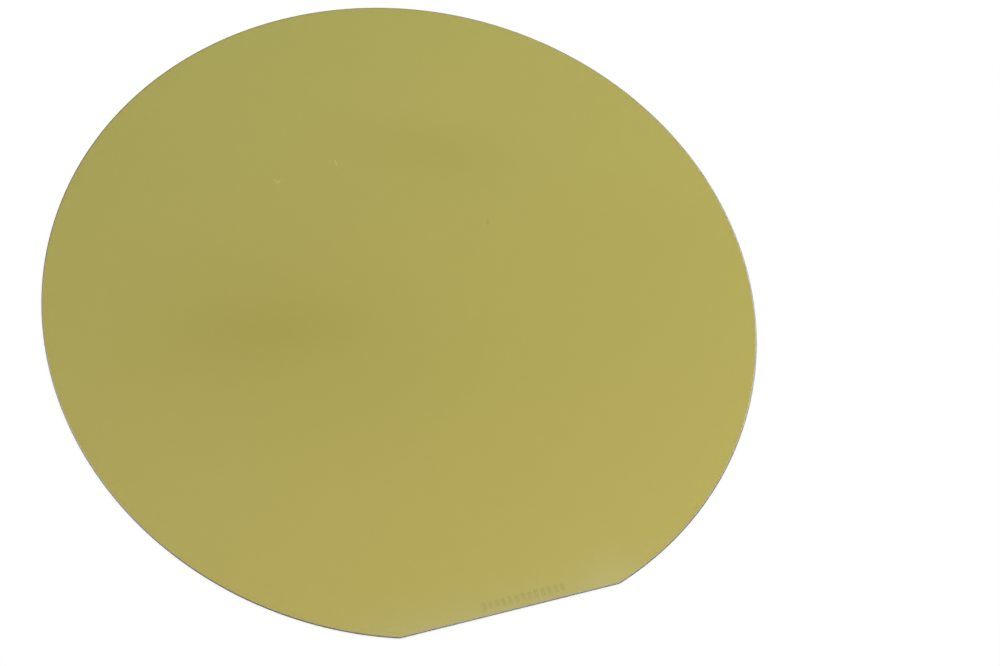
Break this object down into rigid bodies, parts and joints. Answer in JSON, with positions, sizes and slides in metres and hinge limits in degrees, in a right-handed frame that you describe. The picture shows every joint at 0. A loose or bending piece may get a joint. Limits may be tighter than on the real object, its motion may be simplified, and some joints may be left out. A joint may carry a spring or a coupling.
{
  "type": "silicon carbide wafer",
  "caption": "Thin round slice of semiconductor crystal with a straight flat on its rim and a ground, bevelled edge; see-through olive-yellow, with polished faces.",
  "frame": {"origin": "centre of the wafer's circle, on the back face", "axes": "+Z is the front face's outward normal, -Y is the primary flat's outward normal, and +X runs along the flat"},
  "size_m": [0.15, 0.1461, 0.0004],
  "materials": {
    "crystal": "polished"
  },
  "bodies": {
    "root": {"wafer": "crystal"}
  },
  "joints": []
}
